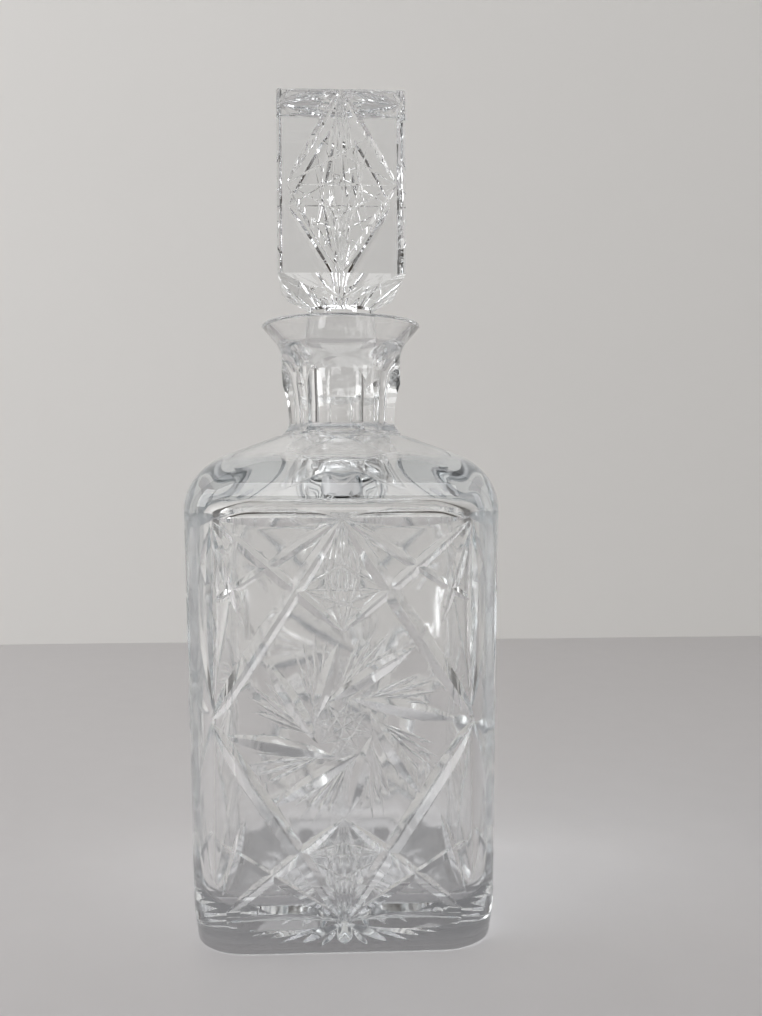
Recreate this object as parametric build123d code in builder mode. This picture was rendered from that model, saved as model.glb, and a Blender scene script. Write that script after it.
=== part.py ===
"""Cut crystal decanter: a square bottle and its ground glass stopper, each one solid piece of glass.

Millimetres, +Z up, origin at the centre of the base, which stands on z = 0. The front panel faces -Y.
"""

from build123d import *

import math
import os

# Bottle, outside.
BODY_WIDTH = 90.0
CORNER_RADIUS = 12.0  # at the shoulder
FOOT_CORNER_RADIUS = 16.0  # the corners grow rounder towards the foot
TAPER = 1.1  # the walls lean in by this much on their way down to the heel
HEEL_Z = 9.0
HEEL_INSET = 1.0
FOOT_EDGE = 0.5
SHOULDER_Z = 124.7  # the top of the flat walls
SHOULDER_RADIUS = 18.0
ROOF_SLOPE = 23.0  # degrees, from the rounded shoulder up to the neck
ROOF_TOP_RADIUS = 17.0

# Bottle, inside.
WALL = 7.2
CAVITY_CORNER_RADIUS = 9.0
CAVITY_TOP_Z = 124.0  # the cavity's walls are upright up to here, and the glass above is thicker
CAVITY_BEND = 4.0
CAVITY_SLOPE = 29.0  # degrees
CAVITY_NECK = 10.6
FLOOR = 11.0
FLOOR_FILLET = 8.0

BORE_Z = 147.0  # the bore's lower end, below which it eases out into the body
BORE_EASE = 2.5
FUNNEL_BEND = (15.4, 175.2)  # a point half way up the inside of the lip

# Neck and lip.
NECK_RADIUS = 18.8
FLARE_Z = 172.5  # the neck is straight up to here
LIP_RADIUS = 25.0
LIP_INNER_RADIUS = 22.8
LIP_Z = 182.4
LIP_ROUND = 0.9
FLUTES = 6
FLUTE_FLAT = 14.6  # from the neck's axis to the deepest line of a flute
FLUTE_BASE_Z = 151.3
FLUTE_WHEEL_RADIUS = 45.0
FLUTE_RUN_OUT = 4.2  # radius by which a flute turns out onto the shoulder
FLUTE_TURN = -7.0  # degrees that the flutes stand off square with the panels

# Stopper.
STOPPER_TURN = 1.5  # degrees that it stands turned in the neck
BLOCK_WIDTH = 38.4
BLOCK_BASE_Z = 195.0
BLOCK_TOP_Z = 249.4
BLOCK_ARRIS = 0.7
SHANK_FLAT = 10.0  # from the axis to a flat of the eight-sided shank
SHANK_RADIUS = 10.6
SHANK_SIDES = 8
SHANK_TOP_Z = 187.5
SHANK_BASE_Z = 181.5
SHANK_SPREAD = -8.0  # degrees that the flats lean out on their way down
HIP_SECTIONS = (  # half width, height, corner radius: from the block's foot down to the shank
    (19.2, 195.0, 0.9),
    (17.0, 191.4, 3.0),
    (10.9, 187.5, 10.5),
)

# Ground seat and peg: one taper, with a running gap between them.
PEG_TOP_Z = 175.7
PEG_END_Z = 159.0
PEG_TOP_RADIUS = 11.6
PEG_TAPER = 1 / 24  # radius lost for each millimetre down
PEG_EDGE = 0.6
SEAT_TOP_Z = 168.5
SEAT_BASE_Z = 157.0
SEAT_GAP = 0.05

# Cut pattern. A panel's frame has its corners at the ends of the border cuts.
PANEL_HALF = 36.5
PANEL_LOW, PANEL_HIGH = 9.5, 122.5
SIDE_POINT_DROP = 0.53  # where the long cuts meet at the sides, as a share of the panel from its top
NODE_DROP, NODE_RISE = 0.28, 0.255  # the two nodes on the centre line, from the top and from the bottom
SIDE_CUT = 0.25  # where the flat cuts from the centre top and bottom run out, from their own end
SPIKE = (0.78, 0.26)  # end of the steep cut from each corner: share of the half width, share of the height
MAIN_CUT = (2.4, 1.6)  # half width and depth of the widest mitre cuts
SECOND_CUT = (1.7, 1.2)
BORDER_CUT = (2.5, 1.5)
BLADE_CUT = (2.3, 1.4)
BLADES = 8
BLADE_OUTER, BLADE_INNER = 28.0, 8.4
BLADE_SWEEP = 80.0  # degrees that a blade's inner end is turned on from its tip
STOPPER_CUT = (1.1, 0.8)
DIAMOND_HALF = 16.4
DIAMOND_DROP = 0.53
BASE_RAYS = 16
BASE_RAY = (3.0, 29.0)  # start and end of a ray under the foot, from the axis
BASE_CUT = (2.2, 1.5)
CUT_LIFT = 0.3  # the cutting solids stand this far proud of the face that they cut

HALF = BODY_WIDTH / 2
PANEL_HEIGHT = PANEL_HIGH - PANEL_LOW
BODY_SECTIONS = (  # half width, height, corner radius
    (HALF - TAPER - HEEL_INSET, 0, FOOT_CORNER_RADIUS),
    (HALF - TAPER, HEEL_Z, FOOT_CORNER_RADIUS),
    (HALF, SHOULDER_Z, CORNER_RADIUS),
)


# ---------------------------------------------------------------- mitre cuts


def mitre_cut(face, start, end, size, tapers=(8, 8)):
    """The glass that a V-edged wheel takes off `face` between two points: a wedge with pointed ends.

    Points are in the face's own millimetres, size is (half width, depth), a taper is an end's length.
    """
    half_width, depth = size
    side = half_width * (1 + CUT_LIFT / depth)
    run = Vector(*end) - Vector(*start)
    heading = face.x_dir * (run.X / run.length) + face.y_dir * (run.Y / run.length)
    tips = [Vertex(*face.from_local_coords(Vector(x, y, CUT_LIFT))) for x, y in (start, end)]
    with BuildPart() as cut:
        for distance in (tapers[0], run.length - tapers[1]):
            place = face.from_local_coords(Vector(*start)) + heading * distance
            with BuildSketch(Plane(place, x_dir=face.z_dir.cross(heading), z_dir=heading)):
                Polygon((-side, CUT_LIFT), (0, -depth), (side, CUT_LIFT), align=None)
        loft([tips[0], *cut.pending_faces, tips[1]], ruled=True)
    return cut.part


def panel_cuts(face):
    """The wide cuts of one bottle panel: border, great lozenge, corner stars and pinwheel."""
    node_high = (0, PANEL_HIGH - NODE_DROP * PANEL_HEIGHT)
    node_low = (0, PANEL_LOW + NODE_RISE * PANEL_HEIGHT)
    side_z = PANEL_HIGH - SIDE_POINT_DROP * PANEL_HEIGHT
    cuts = []
    for way in (-1, 1):
        side_point = (way * PANEL_HALF, side_z)
        for node, edge_z, inward in ((node_high, PANEL_HIGH, -1), (node_low, PANEL_LOW, 1)):
            centre, corner = (0, edge_z), (way * PANEL_HALF, edge_z)
            run_out = (way * (HALF - 2), edge_z + inward * SIDE_CUT * PANEL_HEIGHT)
            spike_x, spike_rise = SPIKE[0] * PANEL_HALF, SPIKE[1] * PANEL_HEIGHT
            spike = (way * spike_x, edge_z + inward * spike_rise)
            cuts += [
                mitre_cut(face, centre, (way * HALF, side_z), MAIN_CUT, tapers=(16, 9)),
                mitre_cut(face, corner, node, SECOND_CUT, tapers=(12, 8)),
                mitre_cut(face, centre, run_out, SECOND_CUT, tapers=(14, 8)),
                mitre_cut(face, corner, spike, SECOND_CUT, tapers=(10, 9)),
                mitre_cut(face, corner, centre, BORDER_CUT, tapers=(10, 10)),
                mitre_cut(face, corner, side_point, BORDER_CUT, tapers=(14, 10)),
            ]
    return cuts + pinwheel_cuts(face, (node_high[1] + node_low[1]) / 2)


def pinwheel_cuts(face, centre_z):
    """Straight blades that run from a ring of tips to touch an inner circle, all leaning the same way."""
    cuts = []
    for blade in range(BLADES):
        tip_angle = math.radians(360 / BLADES * blade)
        root_angle = tip_angle + math.radians(BLADE_SWEEP)
        tip = (BLADE_OUTER * math.cos(tip_angle), centre_z + BLADE_OUTER * math.sin(tip_angle))
        root = (BLADE_INNER * math.cos(root_angle), centre_z + BLADE_INNER * math.sin(root_angle))
        cuts.append(mitre_cut(face, tip, root, BLADE_CUT, tapers=(9, 9)))
    return cuts


def diamond_cuts(face):
    """The diamond on one side of the stopper, from its top edge to its bottom edge."""
    side_z = BLOCK_TOP_Z - DIAMOND_DROP * (BLOCK_TOP_Z - BLOCK_BASE_Z)
    cuts = []
    for way in (-1, 1):
        corner = (way * DIAMOND_HALF, side_z)
        for end_z in (BLOCK_TOP_Z, BLOCK_BASE_Z):
            cuts.append(mitre_cut(face, (0, end_z), corner, STOPPER_CUT, tapers=(7, 6)))
    return cuts


def foot_cuts():
    """The star under the foot: rays of equal length round the middle."""
    under = Plane((0, 0, 0), x_dir=(1, 0, 0), z_dir=(0, 0, -1))
    cuts = []
    for ray in range(BASE_RAYS):
        angle = 2 * math.pi * ray / BASE_RAYS
        near, far = [(radius * math.cos(angle), radius * math.sin(angle)) for radius in BASE_RAY]
        cuts.append(mitre_cut(under, near, far, BASE_CUT, tapers=(12, 8)))
    return cuts


def front_face(half_width, lean=0.0):
    """A plane on the front of a square piece, whose own x is across and whose own y is the height.

    half_width is at z = 0, and lean is how far the face stands out for each millimetre up.
    """
    return Plane((0, -half_width, 0), x_dir=(1, 0, 0), z_dir=(0, -1, -lean))


# ---------------------------------------------------------------- bottle


def turned_over(start, radius, slope, end_half, steps=8):
    """(half width, height) from the top of an upright wall, round a bend and up a straight slope."""
    half, height = start
    lean = math.radians(90 - slope)
    places = []
    for step in range(steps + 1):
        angle = lean * step / steps
        places.append((half - radius * (1 - math.cos(angle)), height + radius * math.sin(angle)))
    foot = places[-1]
    for share in (0.35, 0.7, 1.0):
        across = (end_half - foot[0]) * share
        places.append((foot[0] + across, foot[1] - across * math.tan(math.radians(slope))))
    return places


def rounding_sections(places, corner):
    """(half width, height, corner radius) of squares that turn into a circle at the last of the places."""
    widest, narrowest = places[0][0], places[-1][0]
    sections = []
    for half, height in places:
        inward = (widest - half) / (widest - narrowest)
        sections.append((half, height, half * (corner / widest * (1 - inward) + 0.97 * inward)))
    return sections


def peg_radius(z):
    """The peg's taper, which the seat in the neck follows."""
    return PEG_TOP_RADIUS - (PEG_TOP_Z - z) * PEG_TAPER


os.makedirs("parts", exist_ok=True)

with BuildPart() as flute:
    # The wheel's own curve down the neck, then its turn out onto the shoulder.
    sweep = math.sqrt(FLUTE_WHEEL_RADIUS**2 - (FLUTE_WHEEL_RADIUS - FLUTE_RUN_OUT) ** 2)
    deepest = (FLUTE_FLAT, FLUTE_BASE_Z)
    top = (FLUTE_FLAT + FLUTE_RUN_OUT, FLUTE_BASE_Z + sweep)
    foot = (FLUTE_FLAT + FLUTE_RUN_OUT, FLUTE_BASE_Z - FLUTE_RUN_OUT)
    with BuildSketch(Plane.XZ):
        with BuildLine():
            RadiusArc(deepest, top, -FLUTE_WHEEL_RADIUS)
            RadiusArc(deepest, foot, FLUTE_RUN_OUT)
            Polyline(top, (LIP_RADIUS, top[1]), (LIP_RADIUS, foot[1]), foot)
        make_face()
    extrude(amount=NECK_RADIUS, both=True)

with BuildPart() as cavity:
    inner_wall = (HALF - WALL, CAVITY_TOP_Z)
    inner_roof = turned_over(inner_wall, CAVITY_BEND, CAVITY_SLOPE, CAVITY_NECK)
    with BuildSketch(Plane.XY.offset(FLOOR)):
        RectangleRounded(BODY_WIDTH - 2 * WALL, BODY_WIDTH - 2 * WALL, CAVITY_CORNER_RADIUS)
    extrude(amount=CAVITY_TOP_Z - FLOOR)
    fillet(cavity.edges().group_by(Axis.Z)[0], FLOOR_FILLET)
    for half, height, radius in rounding_sections(inner_roof, CAVITY_CORNER_RADIUS):
        with BuildSketch(Plane.XY.offset(height)):
            RectangleRounded(2 * half, 2 * half, radius)
    loft(ruled=True)
    # The bore: eased where it opens into the body, tapered for the peg, then the funnel of the lip.
    bore = peg_radius(SEAT_BASE_Z) + SEAT_GAP
    seat_base = (bore, SEAT_BASE_Z)
    seat_top = (peg_radius(SEAT_TOP_Z) + SEAT_GAP, SEAT_TOP_Z)
    mouth = (bore + BORE_EASE, BORE_Z - BORE_EASE)
    with BuildSketch(Plane.XZ):
        with BuildLine():
            below = inner_roof[-2][1]  # well into the hollow under the roof
            Polyline((0, LIP_Z), (0, below), (mouth[0], below), mouth)
            RadiusArc(mouth, (bore, BORE_Z), BORE_EASE)
            Polyline((bore, BORE_Z), seat_base, seat_top)
            ThreePointArc(seat_top, FUNNEL_BEND, (LIP_INNER_RADIUS, LIP_Z))
            Line((LIP_INNER_RADIUS, LIP_Z), (0, LIP_Z))
        make_face()
    revolve(axis=Axis.Z)

with BuildPart() as bottle:
    lean = TAPER / (SHOULDER_Z - HEEL_Z)
    for half, height, radius in BODY_SECTIONS:
        with BuildSketch(Plane.XY.offset(height)):
            RectangleRounded(2 * half, 2 * half, radius)
    loft(ruled=True)
    chamfer(bottle.faces().sort_by(Axis.Z)[0].edges(), FOOT_EDGE)
    outer_roof = turned_over((HALF, SHOULDER_Z), SHOULDER_RADIUS, ROOF_SLOPE, ROOF_TOP_RADIUS)
    for half, height, radius in rounding_sections(outer_roof, CORNER_RADIUS):
        with BuildSketch(Plane.XY.offset(height)):
            RectangleRounded(2 * half, 2 * half, radius)
    loft(ruled=True)
    with BuildSketch(Plane.XZ):
        with BuildLine():
            Polyline((0, LIP_Z), (0, SHOULDER_Z), (NECK_RADIUS, SHOULDER_Z), (NECK_RADIUS, FLARE_Z))
            Polyline((NECK_RADIUS, FLARE_Z), (LIP_RADIUS, LIP_Z), (0, LIP_Z))
        make_face()
    revolve(axis=Axis.Z)
    with PolarLocations(0, FLUTES, start_angle=FLUTE_TURN - 90):
        add(flute.part, mode=Mode.SUBTRACT)
    add(cavity.part, mode=Mode.SUBTRACT)
    fillet(bottle.edges().filter_by(GeomType.CIRCLE).group_by(Axis.Z)[-1], LIP_ROUND)
    with PolarLocations(0, 4):
        add(panel_cuts(front_face(HALF - TAPER - HEEL_Z * lean, lean)), mode=Mode.SUBTRACT)
    add(foot_cuts(), mode=Mode.SUBTRACT)
bottle.part.label = "bottle"

# ---------------------------------------------------------------- stopper

with BuildPart() as shank:
    with BuildSketch(Plane.XZ):
        with BuildLine():
            Polyline((0, SHANK_TOP_Z), (0, PEG_TOP_Z), (PEG_TOP_RADIUS, PEG_TOP_Z))
            Polyline((PEG_TOP_RADIUS, PEG_TOP_Z), (SHANK_RADIUS, SHANK_BASE_Z), (SHANK_RADIUS, SHANK_TOP_Z))
            Line((SHANK_RADIUS, SHANK_TOP_Z), (0, SHANK_TOP_Z))
        make_face()
    revolve(axis=Axis.Z)
    # The flats run out on the cone above the peg.
    with BuildSketch(Plane.XY.offset(SHANK_TOP_Z)):
        RegularPolygon(SHANK_FLAT, SHANK_SIDES, major_radius=False)
    extrude(amount=PEG_TOP_Z - SHANK_TOP_Z, taper=SHANK_SPREAD, mode=Mode.INTERSECT)

with BuildPart() as stopper:
    with BuildSketch(Plane.XY.offset(BLOCK_BASE_Z)):
        Rectangle(BLOCK_WIDTH, BLOCK_WIDTH)
    extrude(amount=BLOCK_TOP_Z - BLOCK_BASE_Z)
    chamfer(stopper.edges().filter_by(Axis.Z) + stopper.edges().group_by(Axis.Z)[-1], BLOCK_ARRIS)
    for half, height, radius in HIP_SECTIONS:
        with BuildSketch(Plane.XY.offset(height)):
            RectangleRounded(2 * half, 2 * half, radius)
    loft(ruled=True)
    add(shank.part)
    with BuildSketch(Plane.XZ):
        with BuildLine():
            peg_top, peg_end = (peg_radius(PEG_TOP_Z), PEG_TOP_Z), (peg_radius(PEG_END_Z), PEG_END_Z)
            Polyline((0, PEG_TOP_Z), peg_top, peg_end, (0, PEG_END_Z), (0, PEG_TOP_Z))
        make_face()
    revolve(axis=Axis.Z)
    chamfer(stopper.edges().group_by(Axis.Z)[0], PEG_EDGE)
    with PolarLocations(0, 4):
        add(diamond_cuts(front_face(BLOCK_WIDTH / 2)), mode=Mode.SUBTRACT)
stopper.part = Rot(0, 0, STOPPER_TURN) * stopper.part
stopper.part.label = "stopper"

# ---------------------------------------------------------------- export

export_step(bottle.part, "parts/bottle.step")
export_step(stopper.part, "parts/stopper.step")
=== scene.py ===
"""Looks for the cut crystal decanter: its glass with every wheel cut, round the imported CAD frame.

Shapes are written in millimetres in the CAD's own frame and scaled to metres when a mesh is made.
"""

import math

import bmesh
import bpy
import numpy as np
from mathutils import Matrix, Vector


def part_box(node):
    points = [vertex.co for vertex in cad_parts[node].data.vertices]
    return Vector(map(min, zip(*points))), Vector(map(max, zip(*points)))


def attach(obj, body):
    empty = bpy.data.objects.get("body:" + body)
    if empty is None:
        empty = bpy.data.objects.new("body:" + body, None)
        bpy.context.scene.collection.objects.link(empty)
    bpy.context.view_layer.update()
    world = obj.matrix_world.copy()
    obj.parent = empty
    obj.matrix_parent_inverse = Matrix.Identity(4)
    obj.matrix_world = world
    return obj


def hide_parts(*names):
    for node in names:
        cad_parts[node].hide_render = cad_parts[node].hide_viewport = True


MM = 0.001
SHARP_ANGLE = math.radians(21)

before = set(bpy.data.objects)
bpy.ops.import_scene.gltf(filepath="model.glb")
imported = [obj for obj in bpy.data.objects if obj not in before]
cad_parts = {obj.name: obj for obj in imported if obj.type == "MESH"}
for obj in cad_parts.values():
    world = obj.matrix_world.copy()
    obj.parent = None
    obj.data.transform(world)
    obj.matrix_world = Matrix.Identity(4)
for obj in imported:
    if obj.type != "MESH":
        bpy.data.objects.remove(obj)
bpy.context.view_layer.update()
bottle_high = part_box("bottle")[1]
stopper_low, stopper_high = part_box("stopper")

# ---------------------------------------------------------------- sizes, in millimetres

# From the axis and from the table. What the frame gives comes from it, and the rest is as in the CAD part.
HALF = bottle_high.x / MM
LIP_Z = bottle_high.z / MM
BLOCK_TOP_Z = stopper_high.z / MM
PEG_END_Z = stopper_low.z / MM

# Body, outside and inside.
CORNER = 12.0  # at the shoulder
FOOT_CORNER = 16.0
TAPER = 1.1  # the walls lean in by this much down to the heel
HEEL_Z = 9.0
HEEL_INSET = 1.0
FOOT_EDGE = 0.5
SHOULDER_Z = 124.7
SHOULDER_RADIUS = 18.0
ROOF_SLOPE = math.radians(23)
ROOF_TOP = 17.0
PANELS = 4
WALL = 7.2
CAVITY_CORNER = 9.0
CAVITY_TOP_Z = 124.0
CAVITY_BEND = 4.0
CAVITY_SLOPE = math.radians(29)
CAVITY_NECK = 10.6
CAVITY_ROUNDING = (0.24, 0.74)  # corner radius over half width: at the walls, and its gain up to the bore
FLOOR = 11.0
FLOOR_FILLET = 8.0

# Neck and lip.
NECK = 18.8
NECK_BASE_Z = 147.4
FLARE_Z = 172.5
FLARE_BEND = 9.0
LIP = 25.0
LIP_INNER = 22.8
LIP_ROUND = 0.9
FLUTES = 6
FLUTE_TURN = math.radians(-7)
FLUTE_FLAT = 14.6
FLUTE_BASE_Z = 151.3
FLUTE_WHEEL = 45.0
FLUTE_RUN_OUT = 4.2

# Seat and peg.
SEAT_TOP_Z = 168.5
SEAT_BASE_Z = 157.0
SEAT_GAP = 0.05
PEG_TOP_Z = 175.7
PEG_TOP = 11.6
PEG_TAPER = 1 / 24
PEG_EDGE = 0.6
BORE_Z = 147.0
BORE_EASE = 2.5

# Stopper: half widths, and the heights of its bends.
STOPPER_TURN = math.radians(1.5)
BLOCK = 19.2
BLOCK_BASE_Z = 195.0
BLOCK_ARRIS = 0.5
HIP = (17.0, 191.4)
HIP_FOOT = 10.9
HIP_CORNER = (24.6, 194.2)  # the slope across each corner, from the axis
HIP_CORNER_FOOT = 11.2
SHANK = 10.6
SHANK_FLAT = 10.0
SHANK_SIDES = 8
SHANK_SPREAD = math.radians(8)
SHANK_TOP_Z = 187.5
SHANK_BASE_Z = 181.5

# ---------------------------------------------------------------- mesh tools


def mesh_object(name, points, faces):
    """An object in metres from points in millimetres."""
    mesh = bpy.data.meshes.new(name)
    mesh.from_pydata([tuple(c * MM for c in p) for p in points], [], faces)
    made = bpy.data.objects.new(name, mesh)
    bpy.context.scene.collection.objects.link(made)
    return made


def ring_angles(count, crowding):
    """Angles round a ring, crowded towards the four diagonals where a square's corners turn."""
    even = np.arange(count) * 2 * math.pi / count
    return even + crowding / 4 * np.sin(4 * even)


def rounded_square(angles, half, corner):
    """Distance from the axis to a square with rounded corners, at each angle."""
    a = np.abs((angles + math.pi / 4) % (math.pi / 2) - math.pi / 4)
    straight = half / np.cos(a)
    centre = half - corner
    reach = centre * (np.cos(a) + np.sin(a))
    turned = reach + np.sqrt(np.maximum(reach**2 - 2 * centre**2 + corner**2, 0))
    return np.where(half * np.tan(a) <= centre, straight, turned)


def lathe(name, rings, angles):
    """A closed solid from rings, each (distance from the axis at every angle, or one number, and a height).

    The first and last rings are drawn in to a point on the axis.
    """
    count = len(angles)
    points = [(0, 0, rings[0][1])]
    for distance, z in rings:
        r = np.broadcast_to(distance, (count,))
        points += list(zip(r * np.cos(angles), r * np.sin(angles), [z] * count))
    points.append((0, 0, rings[-1][1]))
    faces = []
    for i in range(count):
        j = (i + 1) % count
        faces.append((0, 1 + j, 1 + i))
        for k in range(len(rings) - 1):
            low, high = 1 + k * count, 1 + (k + 1) * count
            faces.append((low + i, low + j, high + j, high + i))
        last = 1 + (len(rings) - 1) * count
        faces.append((last + i, last + j, len(points) - 1))
    return mesh_object(name, points, faces)


def arc(centre, radius, start, end, steps):
    """(distance, height) points round an arc, angles in degrees."""
    turn = np.radians(np.linspace(start, end, steps + 1))
    return [(centre[0] + radius * math.cos(t), centre[1] + radius * math.sin(t)) for t in turn]


def boolean(target, cutters, operation="DIFFERENCE"):
    """Join or cut target with every object in cutters, then remove them."""
    group = bpy.data.collections.new("cutters")
    bpy.context.scene.collection.children.link(group)
    for cutter in cutters:
        group.objects.link(cutter)
    modifier = target.modifiers.new("cut", "BOOLEAN")
    modifier.operation = operation
    modifier.solver = "MANIFOLD"
    modifier.operand_type = "COLLECTION"
    modifier.collection = group
    bpy.context.view_layer.update()
    shape = bpy.data.meshes.new_from_object(target.evaluated_get(bpy.context.evaluated_depsgraph_get()))
    target.modifiers.clear()
    target.data = shape
    for cutter in cutters:
        bpy.data.objects.remove(cutter)
    bpy.data.collections.remove(group)


def slice_convex(target, planes):
    """Cut a convex solid by planes, each (point, outward direction) in millimetres, and close it again."""
    bm = bmesh.new()
    bm.from_mesh(target.data)
    for point, outward in planes:
        geometry = bm.verts[:] + bm.edges[:] + bm.faces[:]
        made = bmesh.ops.bisect_plane(
            bm, geom=geometry, plane_co=Vector(point) * MM, plane_no=Vector(outward), clear_outer=True
        )
        rim = [e for e in made["geom_cut"] if isinstance(e, bmesh.types.BMEdge)]
        if rim:
            bmesh.ops.holes_fill(bm, edges=rim)
    bmesh.ops.recalc_face_normals(bm, faces=bm.faces[:])
    bm.to_mesh(target.data)
    bm.free()


def crisp(target):
    """Smooth shading that breaks at every ground edge and leaves the broad faces flat."""
    bm = bmesh.new()
    bm.from_mesh(target.data)
    bmesh.ops.remove_doubles(bm, verts=bm.verts[:], dist=0.0005 * MM)
    for face in bm.faces:
        face.smooth = True
    for edge in bm.edges:
        edge.smooth = edge.is_manifold and edge.calc_face_angle(0) < SHARP_ANGLE
    bm.to_mesh(target.data)
    bm.free()
    modifier = target.modifiers.new("weighted", "WEIGHTED_NORMAL")
    modifier.keep_sharp = True
    modifier.weight = 100
    bpy.context.view_layer.update()
    shape = bpy.data.meshes.new_from_object(target.evaluated_get(bpy.context.evaluated_depsgraph_get()))
    target.modifiers.clear()
    target.data = shape


# ---------------------------------------------------------------- wheel cuts

WHEEL = 0.76  # depth of a cut for each millimetre of its half width
LIFT = 0.03  # the cutters stand this far proud of the face
ROUND = 0.22  # how far polishing has rounded a brink, either side of it
ROUND_SHARE = 0.35  # of the half width, the most that a fine cut's brink is rounded
FLAT_SHARE = 0.4  # of a cut's side, the least that stays inside the rounding
STATIONS = 10
SIDES = 5  # points in a cutter's section


class Face:
    """A plane that cuts are laid out on: a point, its own across and up, and the way out of the glass."""

    def __init__(self, origin, across, up):
        self.origin = Vector(origin)
        self.across = Vector(across).normalized()
        self.up = Vector(up).normalized()
        self.out = self.across.cross(self.up)

    def at(self, x, y, height=0.0):
        return self.origin + self.across * x + self.up * y + self.out * height


def groove(face, start, end, half_width, fullness=2.0, turns=1):
    """Cutters for one V cut, pointed at both ends, repeated `turns` times round the axis.

    fullness 2 is a short lens; a higher number keeps the cut's width for more of its length. Polishing
    has rounded both brinks of the cut, so its walls flatten out over the last ROUND before the face.
    """
    start, end = Vector(start), Vector(end)
    length = (end - start).length
    along = (end - start) / length
    across = Vector((-along.y, along.x))
    depth = half_width * WHEEL
    brink = min(ROUND, half_width * ROUND_SHARE)
    drop = brink * WHEEL / 2
    points = []
    for station in range(STATIONS + 1):
        t = -math.cos(math.pi * station / STATIONS)
        here = start + along * length * (0.5 + 0.5 * t)
        if station in (0, STATIONS):
            points.append(face.at(here.x, here.y, LIFT))
            continue
        share = 1 - abs(t) ** fullness
        side = depth * share / WHEEL
        edge = (side + brink + LIFT / WHEEL * 2, LIFT)
        wall = (max(side - brink, side * FLAT_SHARE), -drop * share)
        root = (0, -depth * share)
        for offset, height in (edge, wall, root, (-wall[0], wall[1]), (-edge[0], edge[1])):
            place = here - across * offset
            points.append(face.at(place.x, place.y, height))
    last = len(points) - 1
    faces = [(0, 1 + (i + 1) % SIDES, 1 + i) for i in range(SIDES)]
    for station in range(STATIONS - 2):
        base = 1 + SIDES * station
        for i in range(SIDES):
            j = (i + 1) % SIDES
            faces.append((base + i, base + j, base + SIDES + j, base + SIDES + i))
    base = last - SIDES
    faces += [(base + i, base + (i + 1) % SIDES, last) for i in range(SIDES)]
    first = mesh_object("cut", points, faces)
    made = [first]
    for turn in range(1, turns):
        copy = bpy.data.objects.new("cut", first.data)
        copy.matrix_world = Matrix.Rotation(2 * math.pi * turn / turns, 4, "Z")
        bpy.context.scene.collection.objects.link(copy)
        made.append(copy)
    return made


def polar(centre, radius, angle):
    """A point on a face, from a centre, at an angle in degrees."""
    turn = math.radians(angle)
    return centre[0] + radius * math.cos(turn), centre[1] + radius * math.sin(turn)


def between(a, b, share):
    """The point that lies a share of the way from a to b."""
    return tuple(p + (q - p) * share for p, q in zip(a, b))


FAN_DEPTH = 0.62  # how far a fan's rays reach from its tip to the opposite one
FAN_SPREAD = (-0.42, -0.2, 0.2, 0.42)  # where they end, as shares of the way out to the side corners


def star_lozenge(face, top, right, bottom, left, line, fan, turns):
    """A lozenge filled with a star, each corner joined to the middles of the two sides across from it.

    line and fan are the half widths of the star's lines and of the rays that fan out from its two tips.
    """
    corners = [top, right, bottom, left]
    made = []
    for i, corner in enumerate(corners):
        near, far, other = corners[(i + 1) % 4], corners[(i + 2) % 4], corners[(i + 3) % 4]
        made += groove(face, corner, between(near, far, 0.5), line, turns=turns)
        made += groove(face, corner, between(other, far, 0.5), line, turns=turns)
    made += groove(face, top, bottom, line, turns=turns)
    made += groove(face, left, right, line, turns=turns)
    for tip, base in ((top, bottom), (bottom, top)):
        for share in FAN_SPREAD:
            side = right if share > 0 else left
            aim = between(between(tip, base, FAN_DEPTH), side, abs(share))
            made += groove(face, tip, aim, fan, turns=turns)
    return made


# ---------------------------------------------------------------- bottle

NEARLY_ROUND = 0.97  # corner radius as a share of the half width, where the shoulder meets the neck

# Points are (across, up) on a panel, from its middle line and from the table.
LEAN = TAPER / (SHOULDER_Z - HEEL_Z)
PANEL = Face((0, -(HALF - TAPER - HEEL_Z * LEAN), 0), (1, 0, 0), (0, -LEAN, 1))
PANEL_HALF = 36.5
PANEL_LOW, PANEL_HIGH = 9.5, 122.8
TOP, BOTTOM = (0, PANEL_HIGH), (0, PANEL_LOW)
NODE_HIGH, NODE_LOW = (0, 91.3), (0, 38.7)
SIDE_Z = 63.0
KITE_HIGH, KITE_LOW = (12.4, 102.9), (12.2, 28.3)  # the right-hand corner of each star-filled lozenge
LOZENGE_END = (42.5, 65)  # where the long cuts run out, across and in from the panel's top or bottom
FLAT_END = (43, 28)
SPIKE_END = (27.0, 30.5)
DIAGONAL_START = -0.03  # the diagonals start this share of their length beyond the node

# Cuts, each as (half width, fullness).
LOZENGE_CUT = (2.6, 5)
DIAGONAL_CUT = (2.0, 3)
FLAT_CUT = (1.5, 4)
SPIKE_CUT = (1.9, 2.5)
BORDER_CUT = (2.6, 2.2)
CORNER_CUT = (2.6, 2.5)
BLADE_CUT = (2.6, 2.2)
RAY_CUT = (0.65, 2.6)
RING_LINE = 0.3
KITE_HIGH_LINE, KITE_LOW_LINE, KITE_FAN = 0.55, 0.5, 0.5

# The pinwheel. Angles are in degrees.
WHEEL_CENTRE = (0, 64.4)
BLADE_TIPS = (33, 30.5, 24, 29, 34, 29.5, 24.5, 30)  # from the centre, the first to the right and on round
BLADE_START = 3
BLADE_SWEEP = 76  # from a blade's tip on to its root
RING = 8.4
RAY_FOOT = 0.12  # where a blade's rays leave it, as a share of its length
RAYS = (20.5, 22.5, 21.0, 18.0)
RAY_SPACING = 9.2
STAR_START = 34
STAR_SKIP = 135


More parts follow.
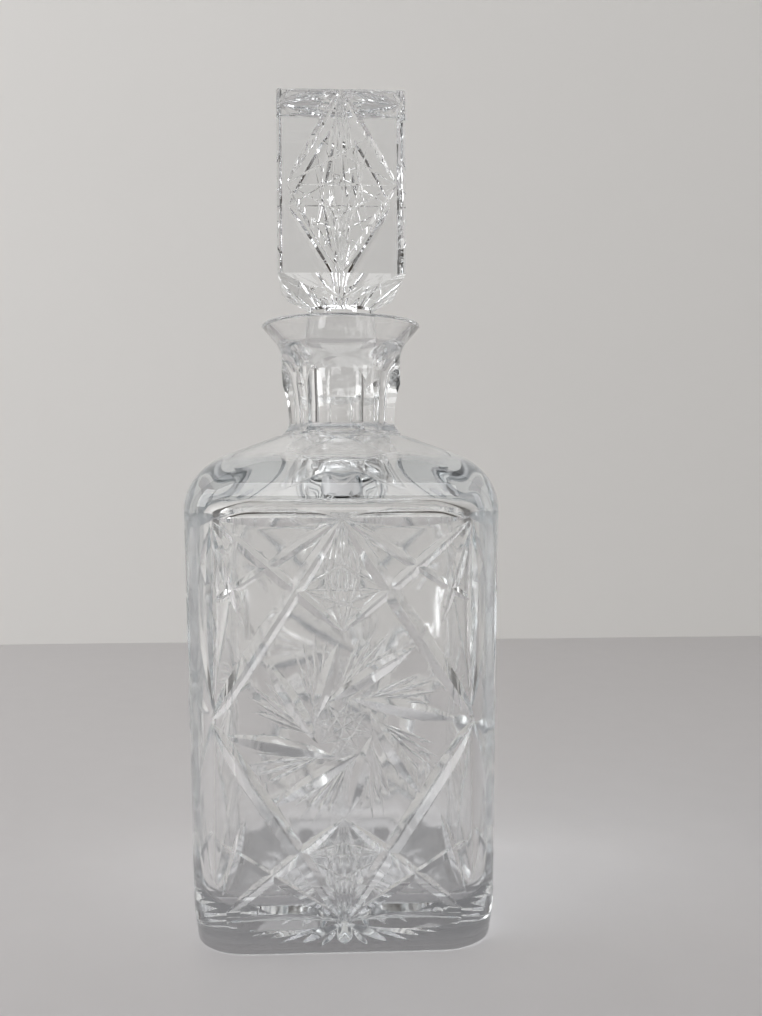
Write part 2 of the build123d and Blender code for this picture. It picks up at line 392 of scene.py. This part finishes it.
def panel_cuts():
    """Every cut of one panel, on all four."""
    made = []
    for way in (-1, 1):
        for centre, node, inward in ((TOP, NODE_HIGH, -1), (BOTTOM, NODE_LOW, 1)):
            z = centre[1]
            corner = (way * PANEL_HALF, z)
            lozenge_end, flat_end, spike_end = [
                (way * across, z + inward * rise) for across, rise in (LOZENGE_END, FLAT_END, SPIKE_END)
            ]
            made += groove(PANEL, centre, lozenge_end, *LOZENGE_CUT, turns=PANELS)
            diagonal_start = between(node, corner, DIAGONAL_START)
            made += groove(PANEL, diagonal_start, corner, *DIAGONAL_CUT, turns=PANELS)
            made += groove(PANEL, centre, flat_end, *FLAT_CUT, turns=PANELS)
            made += groove(PANEL, corner, spike_end, *SPIKE_CUT, turns=PANELS)
            made += groove(PANEL, corner, centre, *BORDER_CUT, turns=PANELS)
    made += corner_cuts()
    for top, bottom, right, line in (
        (TOP, NODE_HIGH, KITE_HIGH, KITE_HIGH_LINE),
        (NODE_LOW, BOTTOM, KITE_LOW, KITE_LOW_LINE),
    ):
        left = (-right[0], right[1])
        made += star_lozenge(PANEL, top, right, bottom, left, line, KITE_FAN, PANELS)
    return made + pinwheel()


def corner_cuts():
    """The long upright lenses where a panel turns into its corners."""
    made = []
    lean = math.asin((PANEL_HALF - HALF + CORNER) / CORNER)
    for way in (-1, 1):
        x = way * (HALF - CORNER + CORNER * math.sin(lean))
        y = -(HALF - CORNER + CORNER * math.cos(lean))
        edge = Face((x, y, 0), (math.cos(lean), way * math.sin(lean), 0), (0, 0, 1))
        made += groove(edge, (0, PANEL_HIGH), (0, SIDE_Z), *CORNER_CUT, turns=PANELS)
        made += groove(edge, (0, SIDE_Z), (0, PANEL_LOW), *CORNER_CUT, turns=PANELS)
    return made


def pinwheel():
    """Wide blades that touch a small ring, a fan of fine rays beside each, and a star inside the ring."""
    made = []
    blades = len(BLADE_TIPS)
    step = 360 // blades
    for blade, reach in enumerate(BLADE_TIPS):
        tip_angle = step * blade + BLADE_START
        root = polar(WHEEL_CENTRE, RING, tip_angle + BLADE_SWEEP)
        tip = polar(WHEEL_CENTRE, reach, tip_angle)
        made += groove(PANEL, root, tip, *BLADE_CUT, turns=PANELS)
        heading = math.degrees(math.atan2(tip[1] - root[1], tip[0] - root[0]))
        foot = between(root, tip, RAY_FOOT)
        for ray, length in enumerate(RAYS, 1):
            aim = polar(foot, length, heading + RAY_SPACING * ray)
            made += groove(PANEL, foot, aim, *RAY_CUT, turns=PANELS)
    star = RING - 0.2  # the star's points stop just inside the ring
    for point in range(blades):
        angle = step * point + STAR_START
        near = polar(WHEEL_CENTRE, star, angle)
        made += groove(PANEL, near, polar(WHEEL_CENTRE, star, angle + STAR_SKIP), RING_LINE, turns=PANELS)
        if point < blades / 2:
            made += groove(PANEL, near, polar(WHEEL_CENTRE, star, angle + 180), RING_LINE, turns=PANELS)
    return made


FOOT_RAYS = 16
FOOT_RAY, FOOT_RAY_CUT = (2.5, 31), (2.2, 3.5)  # its ends from the axis, and its cut
SMALL_RAY, SMALL_RAY_CUT = (14, 33), (1.0, 2.5)  # the same for the ray between each two


def foot_cuts():
    """The star ground into the underside."""
    under = Face((0, 0, 0), (1, 0, 0), (0, -1, 0))
    made = []
    for ends, cut, turn in ((FOOT_RAY, FOOT_RAY_CUT, 0), (SMALL_RAY, SMALL_RAY_CUT, 180 / FOOT_RAYS)):
        near, far = [polar((0, 0), radius, turn) for radius in ends]
        made += groove(under, near, far, *cut, turns=FOOT_RAYS)
    return made


def flute_cutters():
    """The six hollows ground down the neck, each turning out onto the shoulder at its foot."""
    drop = FLUTE_WHEEL - FLUTE_RUN_OUT
    climb = math.degrees(math.acos(drop / FLUTE_WHEEL))
    outline = arc((FLUTE_FLAT + FLUTE_WHEEL, FLUTE_BASE_Z), FLUTE_WHEEL, 180 - climb, 180, 14)
    outline += arc((FLUTE_FLAT + FLUTE_RUN_OUT, FLUTE_BASE_Z), FLUTE_RUN_OUT, 180, 270, 8)[1:]
    beyond = LIP - 1
    outline += [(beyond, outline[-1][1]), (beyond, outline[0][1])]
    reach = 14  # half the cutter's length, past both sides of the neck's facet
    made = []
    for flute in range(FLUTES):
        turn = 2 * math.pi * flute / FLUTES - math.pi / 2 + FLUTE_TURN
        out, side = Vector((math.cos(turn), math.sin(turn))), Vector((-math.sin(turn), math.cos(turn)))
        points = []
        for offset in (-reach, reach):
            for distance, z in outline:
                p = out * distance + side * offset
                points.append((p.x, p.y, z))
        n = len(outline)
        faces = [tuple(range(n)), tuple(reversed(range(n, 2 * n)))]
        for i in range(n):
            j = (i + 1) % n
            faces.append((j, i, n + i, n + j))
        made.append(mesh_object("flute", points, faces))
    return made


def shoulder():
    """(half width, height, corner radius) up the rounded shoulder and its roof, as far as the neck."""
    steps = 24
    lean = math.pi / 2 - ROOF_SLOPE
    centre = HALF - SHOULDER_RADIUS
    places = []
    for step in range(steps + 1):
        angle = lean * step / steps
        out, up = SHOULDER_RADIUS * math.cos(angle), SHOULDER_RADIUS * math.sin(angle)
        places.append((centre + out, SHOULDER_Z + up))
    foot = places[-1]
    for share in np.linspace(0, 1, 9)[1:-2]:
        half = foot[0] + (ROOF_TOP - foot[0]) * share
        places.append((half, foot[1] + (foot[0] - half) * math.tan(ROOF_SLOPE)))
    sections = []
    for half, z in places:
        inward = (HALF - half) / (HALF - ROOF_TOP)
        sections.append((half, z, half * (CORNER / HALF * (1 - inward) + NEARLY_ROUND * inward)))
    return sections


def cavity_roof():
    """(half width, height, corner radius) of the cavity from its upright walls to the bore.

    The glass is thickest at the shoulder, so the bend is tight and the roof steeper than outside.
    """
    side, lean = HALF - WALL, math.pi / 2 - CAVITY_SLOPE
    places = []
    for angle in np.linspace(0, lean, 9):
        inset, up = CAVITY_BEND * (1 - math.cos(angle)), CAVITY_BEND * math.sin(angle)
        places.append((side - inset, CAVITY_TOP_Z + up))
    foot = places[-1]
    for share in np.linspace(0, 1, 11)[1:]:
        half = foot[0] + (CAVITY_NECK - foot[0]) * share
        places.append((half, foot[1] + (foot[0] - half) * math.tan(CAVITY_SLOPE)))
    at_walls, gain = CAVITY_ROUNDING
    sections = []
    for half, z in places:
        inward = 1 - (half - CAVITY_NECK) / (side - CAVITY_NECK)
        sections.append((half, z, half * (at_walls + gain * inward)))
    return sections


def peg_radius(z):
    """The peg's taper, which the seat in the neck follows."""
    return PEG_TOP - (PEG_TOP_Z - z) * PEG_TAPER


def bottle_blank():
    """The bottle before it is cut: up the outside, over the lip, and down the inside."""
    angles = ring_angles(288, 0.6)
    foot = HALF - TAPER - HEEL_INSET
    squares = [(half, 0, FOOT_CORNER) for half in (20, 38, foot - FOOT_EDGE)]
    # The foot's edge is worn round: a ring low on it and one at its top.
    squares += [(foot - 0.2, FOOT_EDGE * 0.35, FOOT_CORNER), (foot + 0.1, FOOT_EDGE, FOOT_CORNER)]
    for share in np.linspace(0, 1, 24)[:-1]:
        z = HEEL_Z + (SHOULDER_Z - HEEL_Z) * share
        squares.append((HALF - TAPER * (1 - share), z, FOOT_CORNER + (CORNER - FOOT_CORNER) * share))
    squares += shoulder()
    rings = [(rounded_square(angles, half, corner), z) for half, z, corner in squares]
    rings += [(NECK, z) for z in (NECK_BASE_Z, 152, 158, 164, 169)]
    rings += arc((NECK + FLARE_BEND, FLARE_Z - 1.5), FLARE_BEND, 180, 146, 6)
    rings += [(LIP, LIP_Z - LIP_ROUND)]
    rings += arc((LIP - LIP_ROUND, LIP_Z - LIP_ROUND), LIP_ROUND, 0, 90, 6)[1:]
    rings += arc((LIP_INNER + LIP_ROUND, LIP_Z - LIP_ROUND), LIP_ROUND, 90, 150, 5)
    seat = (peg_radius(SEAT_TOP_Z) + SEAT_GAP, SEAT_TOP_Z)
    rings += funnel(rings[-1], seat)
    rings += [(peg_radius(z) + SEAT_GAP, z) for z in (165, 161, SEAT_BASE_Z)]
    bore = peg_radius(SEAT_BASE_Z) + SEAT_GAP
    rings += [(bore, 152)] + arc((bore + BORE_EASE, BORE_Z), BORE_EASE, 180, 250, 7)
    rings += [(rounded_square(angles, half, corner), z) for half, z, corner in reversed(cavity_roof())]
    side = HALF - WALL
    rings += [(rounded_square(angles, side, CAVITY_CORNER), z) for z in (100, 70, 40, FLOOR + FLOOR_FILLET)]
    tight = 1.0  # the corners on the hollow's floor
    for distance, z in arc((side - FLOOR_FILLET, FLOOR + FLOOR_FILLET), FLOOR_FILLET, 0, -90, 10)[1:]:
        rings.append((rounded_square(angles, distance, max(CAVITY_CORNER - (side - distance), tight)), z))
    rings += [(rounded_square(angles, half, tight), FLOOR) for half in (20, 8)]
    return lathe("bottle_glass", rings, angles)


def funnel(top, bottom):
    """The inside of the lip: a curve that leaves the rim on the slope and meets the seat upright."""
    start, end = np.array(top), np.array(bottom)
    bend = np.array((bottom[0] + 1.6, 173.0))
    points = []
    for t in np.linspace(0, 1, 10)[1:]:
        point = start * (1 - t) ** 2 + bend * 2 * t * (1 - t) + end * t**2
        points.append((point[0], point[1]))
    return points


# ---------------------------------------------------------------- stopper

DIAMOND = 16.4
DIAMOND_Z = 221.2
DIAMOND_CUT = (1.15, 4)
STAR_LINE, STAR_FAN = 0.42, 0.42
CROWN_START = BLOCK - 0.6  # the fan on the top starts just inside each side
CROWN_RAYS = 9
CROWN_SPACING = 20  # degrees
CROWN_LENGTHS = (17, 15.5)  # by turns
CROWN_CUT = (0.9, 2.4)
HIP_LONG_CUT = (0.9, 3)
HIP_SHORT_CUT = (0.8, 3)
HIP_RAY_CUT = (0.5, 2.2)


def stopper_blank():
    """The block with its ground arrises and hipped underside, on an eight-sided shank and a round peg."""
    block = convex_block()
    angles = ring_angles(192, 0)
    rings = [(PEG_TOP, PEG_TOP_Z), (SHANK, SHANK_BASE_Z), (SHANK, SHANK_TOP_Z + 1)]
    shank = lathe("shank", rings, angles)
    up = Vector((0, 0, 1))
    planes = []
    for side in range(SHANK_SIDES):
        turn = 2 * math.pi / SHANK_SIDES * side
        out = Vector((math.cos(turn), math.sin(turn), 0))
        normal = out * math.cos(SHANK_SPREAD) + up * math.sin(SHANK_SPREAD)
        planes.append((out * SHANK_FLAT + up * SHANK_TOP_Z, normal))
    slice_convex(shank, planes)
    overlap = 0.4  # how far the peg reaches up into the shank
    rings = [(peg_radius(PEG_END_Z) - PEG_EDGE, PEG_END_Z)]
    rings += [(peg_radius(PEG_END_Z + PEG_EDGE), PEG_END_Z + PEG_EDGE), (peg_radius(PEG_TOP_Z), PEG_TOP_Z)]
    rings += [(peg_radius(PEG_TOP_Z) - overlap, PEG_TOP_Z + overlap)]
    boolean(block, [shank, lathe("peg", rings, angles)], "UNION")
    return block


def convex_block():
    """The block and its hipped underside, sliced from a square bar."""
    half, top = BLOCK, BLOCK_TOP_Z
    bottom = SHANK_TOP_Z - 0.5  # a little way into the shank
    corners = ((-1, -1), (1, -1), (1, 1), (-1, 1))
    points = [(x * half, y * half, z) for z in (bottom, top) for x, y in corners]
    faces = [(3, 2, 1, 0), (4, 5, 6, 7)] + [(i, (i + 1) % 4, 4 + (i + 1) % 4, 4 + i) for i in range(4)]
    block = mesh_object("stopper_glass", points, faces)
    planes = []
    for side in range(4):
        out = Vector((math.cos(side * math.pi / 2), math.sin(side * math.pi / 2), 0))
        edge = Vector((math.cos((side + 0.5) * math.pi / 2), math.sin((side + 0.5) * math.pi / 2), 0))
        up = Vector((0, 0, 1))
        planes.append((out * (half - BLOCK_ARRIS) + up * top, out + up))
        planes.append((edge * (half * math.sqrt(2) - BLOCK_ARRIS), edge))
        planes.append(sloping(out, (half, BLOCK_BASE_Z), HIP))
        planes.append(sloping(out, HIP, (HIP_FOOT, SHANK_TOP_Z)))
        planes.append(sloping(edge, HIP_CORNER, (HIP_CORNER_FOOT, SHANK_TOP_Z)))
    slice_convex(block, planes)
    return block


def sloping(out, high, low):
    """A plane through two (distance, height) points, facing down and outwards."""
    run = Vector((high[0] - low[0], high[1] - low[1]))
    normal = out * run.y + Vector((0, 0, -run.x))
    return out * high[0] + Vector((0, 0, high[1])), normal


def stopper_cuts():
    """The diamond and its star on each side, the fans on the top, and the cuts of the underside."""
    side = Face((0, -BLOCK, 0), (1, 0, 0), (0, 0, 1))
    top, bottom = (0, BLOCK_TOP_Z), (0, BLOCK_BASE_Z)
    left, right = (-DIAMOND, DIAMOND_Z), (DIAMOND, DIAMOND_Z)
    made = []
    for corner in (left, right):
        for end in (top, bottom):
            made += groove(side, end, corner, *DIAMOND_CUT, turns=PANELS)
    made += star_lozenge(side, top, right, bottom, left, STAR_LINE, STAR_FAN, PANELS)
    crown = Face((0, 0, BLOCK_TOP_Z), (1, 0, 0), (0, 1, 0))
    start = (0, CROWN_START)
    for ray in range(CROWN_RAYS):
        angle = -90 + (ray - CROWN_RAYS // 2) * CROWN_SPACING
        aim = polar(start, CROWN_LENGTHS[ray % 2], angle)
        made += groove(crown, start, aim, *CROWN_CUT, turns=PANELS)
    return made + hip_cuts()


def hip_cuts():
    """Crossing cuts on the sloping underside, and a fan from each of its corners.

    Points are (across, up the slope) from the middle of the bend between its two slopes.
    """
    run = Vector((0, -(HIP[0] - HIP_FOOT), HIP[1] - SHANK_TOP_Z))
    face = Face((0, -HIP[0], HIP[1]), (1, 0, 0), run)
    made = []
    for way in (-1, 1):
        made += groove(face, (way * 9.0, 3.4), (-way * 0.6, -6.2), *HIP_SHORT_CUT, turns=PANELS)
        made += groove(face, (way * 16.4, 2.6), (way * 3.6, -6.4), *HIP_LONG_CUT, turns=PANELS)
        for ray in range(3):
            aim = polar((way * 16.4, 1.8), 10.5 - ray, (180 if way > 0 else 0) + way * (8 + 9 * ray))
            made += groove(face, (way * 16.6, 2.2), aim, *HIP_RAY_CUT, turns=PANELS)
    return made


# ---------------------------------------------------------------- glass

LEAD_CRYSTAL_IOR = 1.545
POLISH = 0.02  # the most roughness that the polishing wheel left
LAMP_PASS = (0.93, 0.935, 0.94, 1)  # how much lamp light comes through one surface
TINT_DENSITY = 12.0
BOTTLE_TINT = (0.90, 0.935, 0.95, 1)
STOPPER_TINT = (0.93, 0.95, 0.96, 1)
MOULDED = 0.12  # the roughness of the hollow, which the wheel never reached
INSIDE_MARGIN = 0.4  # a face this close to the hollow's size counts as inside


def crystal(name, tint, inside=0.0):
    """Clear lead crystal with its faint tint in the thickness and a slightly uneven polish.

    Lamps shine through it, dimmed, so that what stands behind it or under it is lit. Faces with the
    attribute "inside" are as the mould left them, and that much rougher than the polished ones.
    """
    material = bpy.data.materials.new(name)
    material.use_nodes = True
    nodes, links = material.node_tree.nodes, material.node_tree.links
    nodes.clear()
    output = nodes.new("ShaderNodeOutputMaterial")
    glass = nodes.new("ShaderNodeBsdfPrincipled")
    glass.inputs["Base Color"].default_value = (1, 1, 1, 1)
    glass.inputs["Transmission Weight"].default_value = 1.0
    glass.inputs["IOR"].default_value = LEAD_CRYSTAL_IOR
    place = nodes.new("ShaderNodeTexCoord")
    wheel = nodes.new("ShaderNodeTexNoise")
    wheel.inputs["Scale"].default_value = 900.0
    wheel.inputs["Detail"].default_value = 3.0
    spread = nodes.new("ShaderNodeMapRange")
    spread.inputs["From Min"].default_value = 0.35
    spread.inputs["From Max"].default_value = 0.75
    spread.inputs["To Min"].default_value = 0.0
    spread.inputs["To Max"].default_value = POLISH
    cavity = nodes.new("ShaderNodeAttribute")
    cavity.attribute_name = "inside"
    total = nodes.new("ShaderNodeMath")
    total.operation = "MULTIPLY_ADD"
    total.inputs[1].default_value = inside
    depth = nodes.new("ShaderNodeVolumeAbsorption")
    depth.inputs["Color"].default_value = tint
    depth.inputs["Density"].default_value = TINT_DENSITY
    links.new(place.outputs["Object"], wheel.inputs["Vector"])
    links.new(wheel.outputs["Fac"], spread.inputs["Value"])
    links.new(cavity.outputs["Fac"], total.inputs[0])
    links.new(spread.outputs["Result"], total.inputs[2])
    links.new(total.outputs["Value"], glass.inputs["Roughness"])
    clear = nodes.new("ShaderNodeBsdfTransparent")
    clear.inputs["Color"].default_value = LAMP_PASS
    ray = nodes.new("ShaderNodeLightPath")
    mix = nodes.new("ShaderNodeMixShader")
    links.new(ray.outputs["Is Shadow Ray"], mix.inputs["Fac"])
    links.new(glass.outputs["BSDF"], mix.inputs[1])
    links.new(clear.outputs["BSDF"], mix.inputs[2])
    links.new(mix.outputs["Shader"], output.inputs["Surface"])
    links.new(depth.outputs["Volume"], output.inputs["Volume"])
    return material


def mark_inside(bottle):
    """The attribute "inside" on the hollow's upright walls and floor."""
    marks = bottle.data.attributes.new("inside", "FLOAT", "FACE")
    for face in bottle.data.polygons:
        x, y, z = face.center / MM
        within = max(abs(x), abs(y)) < HALF - WALL + INSIDE_MARGIN
        marks.data[face.index].value = float(within and FLOOR - INSIDE_MARGIN < z < CAVITY_TOP_Z)


# ---------------------------------------------------------------- the two pieces

bottle = bottle_blank()
boolean(bottle, flute_cutters())
boolean(bottle, panel_cuts() + foot_cuts())
crisp(bottle)
bottle.data.materials.clear()
bottle.data.materials.append(crystal("bottle_crystal", BOTTLE_TINT, MOULDED))
mark_inside(bottle)
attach(bottle, "bottle")
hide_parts("bottle")

stopper = stopper_blank()
boolean(stopper, stopper_cuts())
stopper.data.transform(Matrix.Rotation(STOPPER_TURN, 4, "Z"))
crisp(stopper)
stopper.data.materials.clear()
stopper.data.materials.append(crystal("stopper_crystal", STOPPER_TINT))
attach(stopper, "stopper")
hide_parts("stopper")

# ---------------------------------------------------------------- stage, light and camera

# Metres from here on.
CAMERA = Vector((0, -0.325, 0.134))
PITCH, YAW, ROLL = math.radians(-1.75), math.radians(-2.2), math.radians(-0.3)
WALL_Y = 0.505
STAGE_SIDE, STAGE_FRONT, STAGE_TOP = 2.5, -2.2, 2.6


def plain(name, colour, scale, contrast, roughness):
    """A plain painted surface with a faint unevenness."""
    material = bpy.data.materials.new(name)
    material.use_nodes = True
    nodes, links = material.node_tree.nodes, material.node_tree.links
    shader = nodes["Principled BSDF"]
    shader.inputs["Roughness"].default_value = roughness
    noise = nodes.new("ShaderNodeTexNoise")
    noise.inputs["Scale"].default_value = scale
    noise.inputs["Detail"].default_value = 4.0
    ramp = nodes.new("ShaderNodeValToRGB")
    ramp.color_ramp.elements[0].color = [c * (1 - contrast) for c in colour] + [1]
    ramp.color_ramp.elements[1].color = [min(c * (1 + contrast), 1) for c in colour] + [1]
    place = nodes.new("ShaderNodeTexCoord")
    links.new(place.outputs["Object"], noise.inputs["Vector"])
    links.new(noise.outputs["Fac"], ramp.inputs["Fac"])
    links.new(ramp.outputs["Color"], shader.inputs["Base Color"])
    return material


def sheet(name, near, far, material):
    """A flat sheet across the stage between two (distance back, height) edges."""
    corners = [(-STAGE_SIDE, *near), (STAGE_SIDE, *near), (STAGE_SIDE, *far), (-STAGE_SIDE, *far)]
    made = mesh_object(name, [Vector(c) / MM for c in corners], [(0, 1, 2, 3)])
    made.data.materials.append(material)


floor_paint = plain("table_top", (0.66, 0.645, 0.65), 60, 0.02, 0.5)
wall_paint = plain("wall_paint", (0.80, 0.79, 0.77), 8, 0.01, 0.8)
sheet("floor", (STAGE_FRONT, 0), (WALL_Y, 0), floor_paint)
sheet("backdrop", (WALL_Y, 0), (WALL_Y, STAGE_TOP), wall_paint)


def lamp(name, place, aim, size, watts):
    """A soft rectangular lamp of a width and a height, which faces a point."""
    data = bpy.data.lights.new(name, "AREA")
    data.shape = "RECTANGLE"
    data.size, data.size_y = size
    data.energy = watts
    made = bpy.data.objects.new(name, data)
    made.location = place
    made.rotation_euler = (Vector(aim) - Vector(place)).to_track_quat("-Z", "Y").to_euler()
    bpy.context.scene.collection.objects.link(made)


lamp("window_left", (-1.7, -0.7, 1.1), (0, 0.1, 0.15), (1.0, 1.4), 19)
lamp("room_front", (-0.5, -1.9, 1.7), (0, 0.3, 0.1), (2.2, 1.1), 21)
lamp("fill_right", (1.7, -0.9, 0.8), (0, 0.1, 0.1), (0.6, 1.2), 4.5)


def room():
    """The light of the room itself: grey all round, and a dark brown ceiling overhead."""
    world = bpy.data.worlds.new("room")
    bpy.context.scene.world = world
    world.use_nodes = True
    nodes, links = world.node_tree.nodes, world.node_tree.links
    height = nodes.new("ShaderNodeSeparateXYZ")
    shade = nodes.new("ShaderNodeValToRGB")
    walls, ceiling = shade.color_ramp.elements
    walls.position = 0.35
    walls.color = (0.16, 0.155, 0.15, 1)
    ceiling.position = 0.85
    ceiling.color = (0.045, 0.034, 0.027, 1)
    place = nodes.new("ShaderNodeTexCoord")
    links.new(place.outputs["Generated"], height.inputs["Vector"])
    links.new(height.outputs["Z"], shade.inputs["Fac"])
    links.new(shade.outputs["Color"], nodes["Background"].inputs["Color"])


def set_camera():
    """A short lens close in front of the decanter, at the height of its shoulder."""
    data = bpy.data.cameras.new("camera")
    data.sensor_width = 36
    data.lens = 36
    data.clip_start = 0.01
    made = bpy.data.objects.new("camera", data)
    made.location = CAMERA
    level = Matrix.Rotation(YAW, 4, "Z") @ Matrix.Rotation(math.pi / 2 + PITCH, 4, "X")
    made.rotation_euler = (level @ Matrix.Rotation(ROLL, 4, "Z")).to_euler()
    bpy.context.scene.collection.objects.link(made)
    bpy.context.scene.camera = made


room()
set_camera()

scene = bpy.context.scene
scene.view_settings.view_transform = "Standard"
scene.cycles.max_bounces = 32
scene.cycles.transmission_bounces = 28
scene.cycles.glossy_bounces = 12
